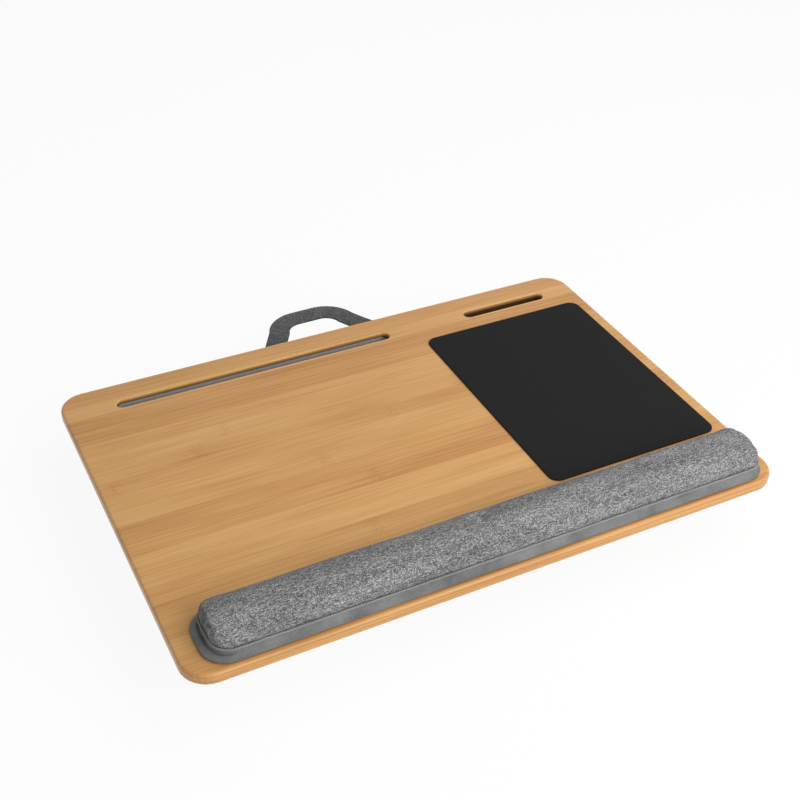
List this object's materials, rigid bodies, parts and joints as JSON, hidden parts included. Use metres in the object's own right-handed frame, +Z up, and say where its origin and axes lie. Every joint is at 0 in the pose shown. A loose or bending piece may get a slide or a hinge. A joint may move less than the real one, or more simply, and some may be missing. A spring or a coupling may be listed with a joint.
{
  "type": "lap desk",
  "caption": "Lap desk: slotted bamboo board with a mouse pad and a padded wrist rest, on a soft bolster cushion, with a fabric carry handle at the back.",
  "frame": {"origin": "on the surface the desk stands on, under the middle of its outline seen from above with the handle out", "axes": "+X to the user's right along the board's width, +Y away from the user towards the slots and the handle, +Z up"},
  "size_m": [0.55, 0.434, 0.0908],
  "materials": {
    "bamboo": "satin lacquer",
    "pad_black": "matte",
    "linen_grey": "heathered weave",
    "suede_grey": "smooth brushed cloth",
    "webbing_grey": "woven strap",
    "foam_white": "open-cell foam",
    "tape_white": "adhesive film",
    "hook_and_loop_black": "hook-and-loop pile",
    "zip_tape_grey": "woven tape",
    "zip_metal": "satin"
  },
  "bodies": {
    "desk": {"bamboo_board": "bamboo", "mouse_pad": "pad_black", "wrist_rest_tape_front": "tape_white", "wrist_rest_tape_back": "tape_white", "wrist_rest_base": "suede_grey", "wrist_rest_cover": "linen_grey", "wrist_rest_foam": "foam_white", "wrist_rest_piping": "linen_grey", "cushion_panel": "suede_grey", "left_bolster_cover": "linen_grey", "left_bolster_fill": "foam_white", "left_bolster_piping": "linen_grey", "right_bolster_cover": "linen_grey", "right_bolster_fill": "foam_white", "right_bolster_piping": "linen_grey", "hook_strip_front_left": "hook_and_loop_black", "hook_strip_front_right": "hook_and_loop_black", "hook_strip_back_left": "hook_and_loop_black", "hook_strip_back_right": "hook_and_loop_black", "loop_strip_front_left": "hook_and_loop_black", "loop_strip_front_right": "hook_and_loop_black", "loop_strip_back_left": "hook_and_loop_black", "loop_strip_back_right": "hook_and_loop_black", "handle_tab_left": "webbing_grey", "handle_tab_right": "webbing_grey", "zipper_tape_left": "zip_tape_grey", "zipper_tape_right": "zip_tape_grey", "zipper_teeth_left": "zip_metal", "zipper_teeth_right": "zip_metal", "zipper_stop_front": "zip_metal", "zipper_stop_back": "zip_metal"},
    "handle": {"handle_strap": "webbing_grey"},
    "slider": {"zipper_slider": "zip_metal"},
    "pull": {"zipper_pull": "zip_metal"}
  },
  "joints": [
    {"name": "handle_swing", "type": "hinge", "parent": "desk", "child": "handle", "pos_m": [0, 0.159, 0.0491], "axis": [1, 0, 0], "range_deg": [-90, 90]},
    {"name": "zip_travel", "type": "slide", "parent": "desk", "child": "slider", "axis": [0, -1, 0], "range_m": [0, 0.167]},
    {"name": "pull_swing", "type": "hinge", "parent": "slider", "child": "pull", "pos_m": [0, 0.0645, 0.0393], "axis": [1, 0, 0], "range_deg": [-80, 80]}
  ]
}
